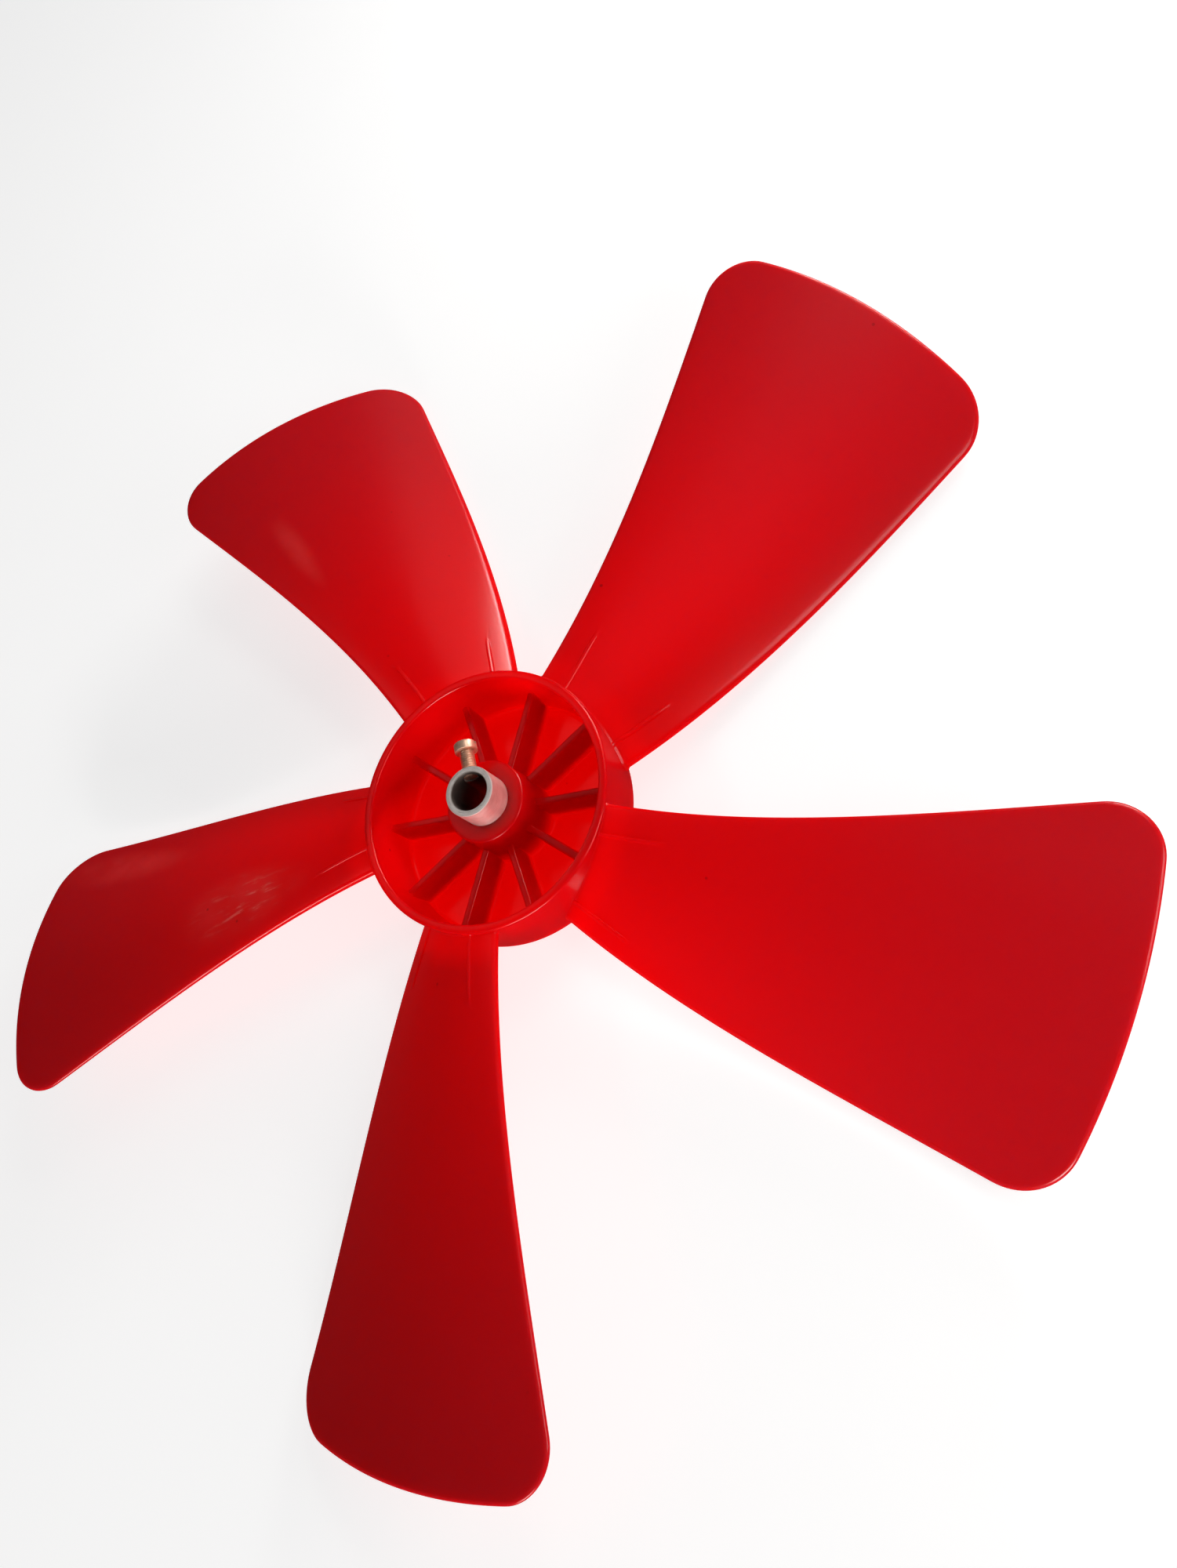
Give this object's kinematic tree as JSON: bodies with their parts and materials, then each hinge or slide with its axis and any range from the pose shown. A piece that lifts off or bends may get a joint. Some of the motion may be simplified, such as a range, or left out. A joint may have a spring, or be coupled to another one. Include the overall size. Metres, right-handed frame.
{
  "type": "fan blade",
  "caption": "Red plastic fan impeller with twisted, cambered blades on a ribbed hub cup, a steel shaft sleeve and a brass clamping screw.",
  "frame": {"origin": "middle of the hub's flat front, on which the fan lies", "axes": "+Z along the shaft axis towards the motor, +X through the middle of the first blade's root"},
  "size_m": [0.3938, 0.3912, 0.0353],
  "materials": {
    "red_plastic": "glossy, slightly translucent moulded plastic",
    "sleeve_steel": "turned steel, dull inside the bore",
    "screw_brass": "plain turned brass"
  },
  "bodies": {
    "root": {"impeller": "red_plastic", "shaft_sleeve": "sleeve_steel", "set_screw": "screw_brass"}
  },
  "joints": []
}
